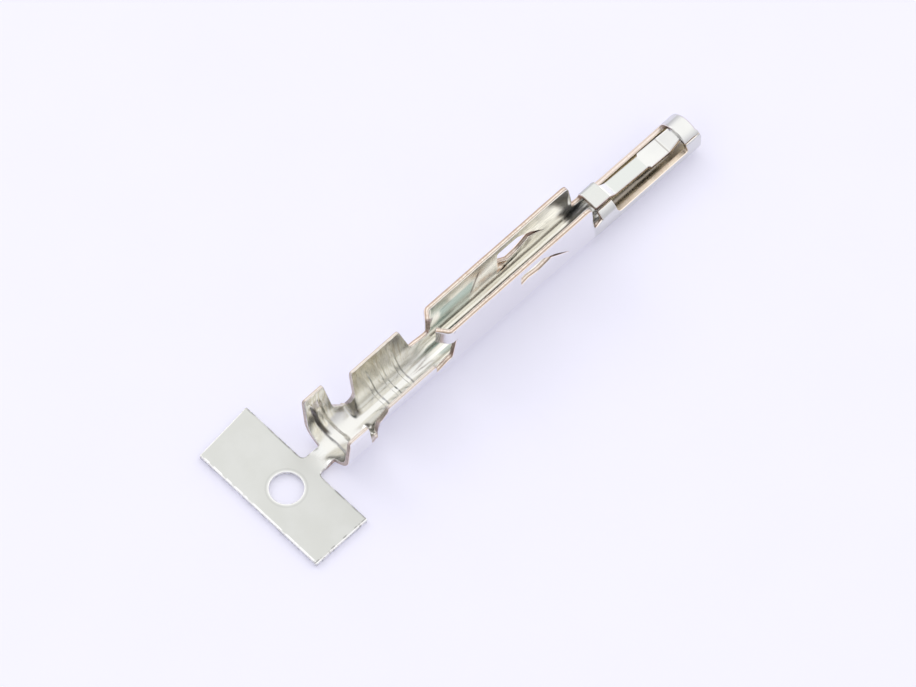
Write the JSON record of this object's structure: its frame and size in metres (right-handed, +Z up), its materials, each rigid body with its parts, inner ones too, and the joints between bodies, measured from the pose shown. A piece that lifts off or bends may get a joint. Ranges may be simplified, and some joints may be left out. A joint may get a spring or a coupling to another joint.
{
  "type": "crimp contact",
  "caption": "Stamped socket contact on a piece of its carrier strip: open insulation and wire barrels, a channel body with locking tongues, and a round socket with a spring.",
  "frame": {"origin": "centre of the carrier strip's pilot hole, on the underside of the sheet", "axes": "+X along the contact towards the socket's mouth, +Y across it, +Z up out of the open barrels"},
  "size_m": [0.0259, 0.0075, 0.0036],
  "materials": {
    "tinned_bronze": "satin tin plating, bare at the cut edges"
  },
  "bodies": {
    "root": {"crimp_contact": "tinned_bronze"}
  },
  "joints": []
}
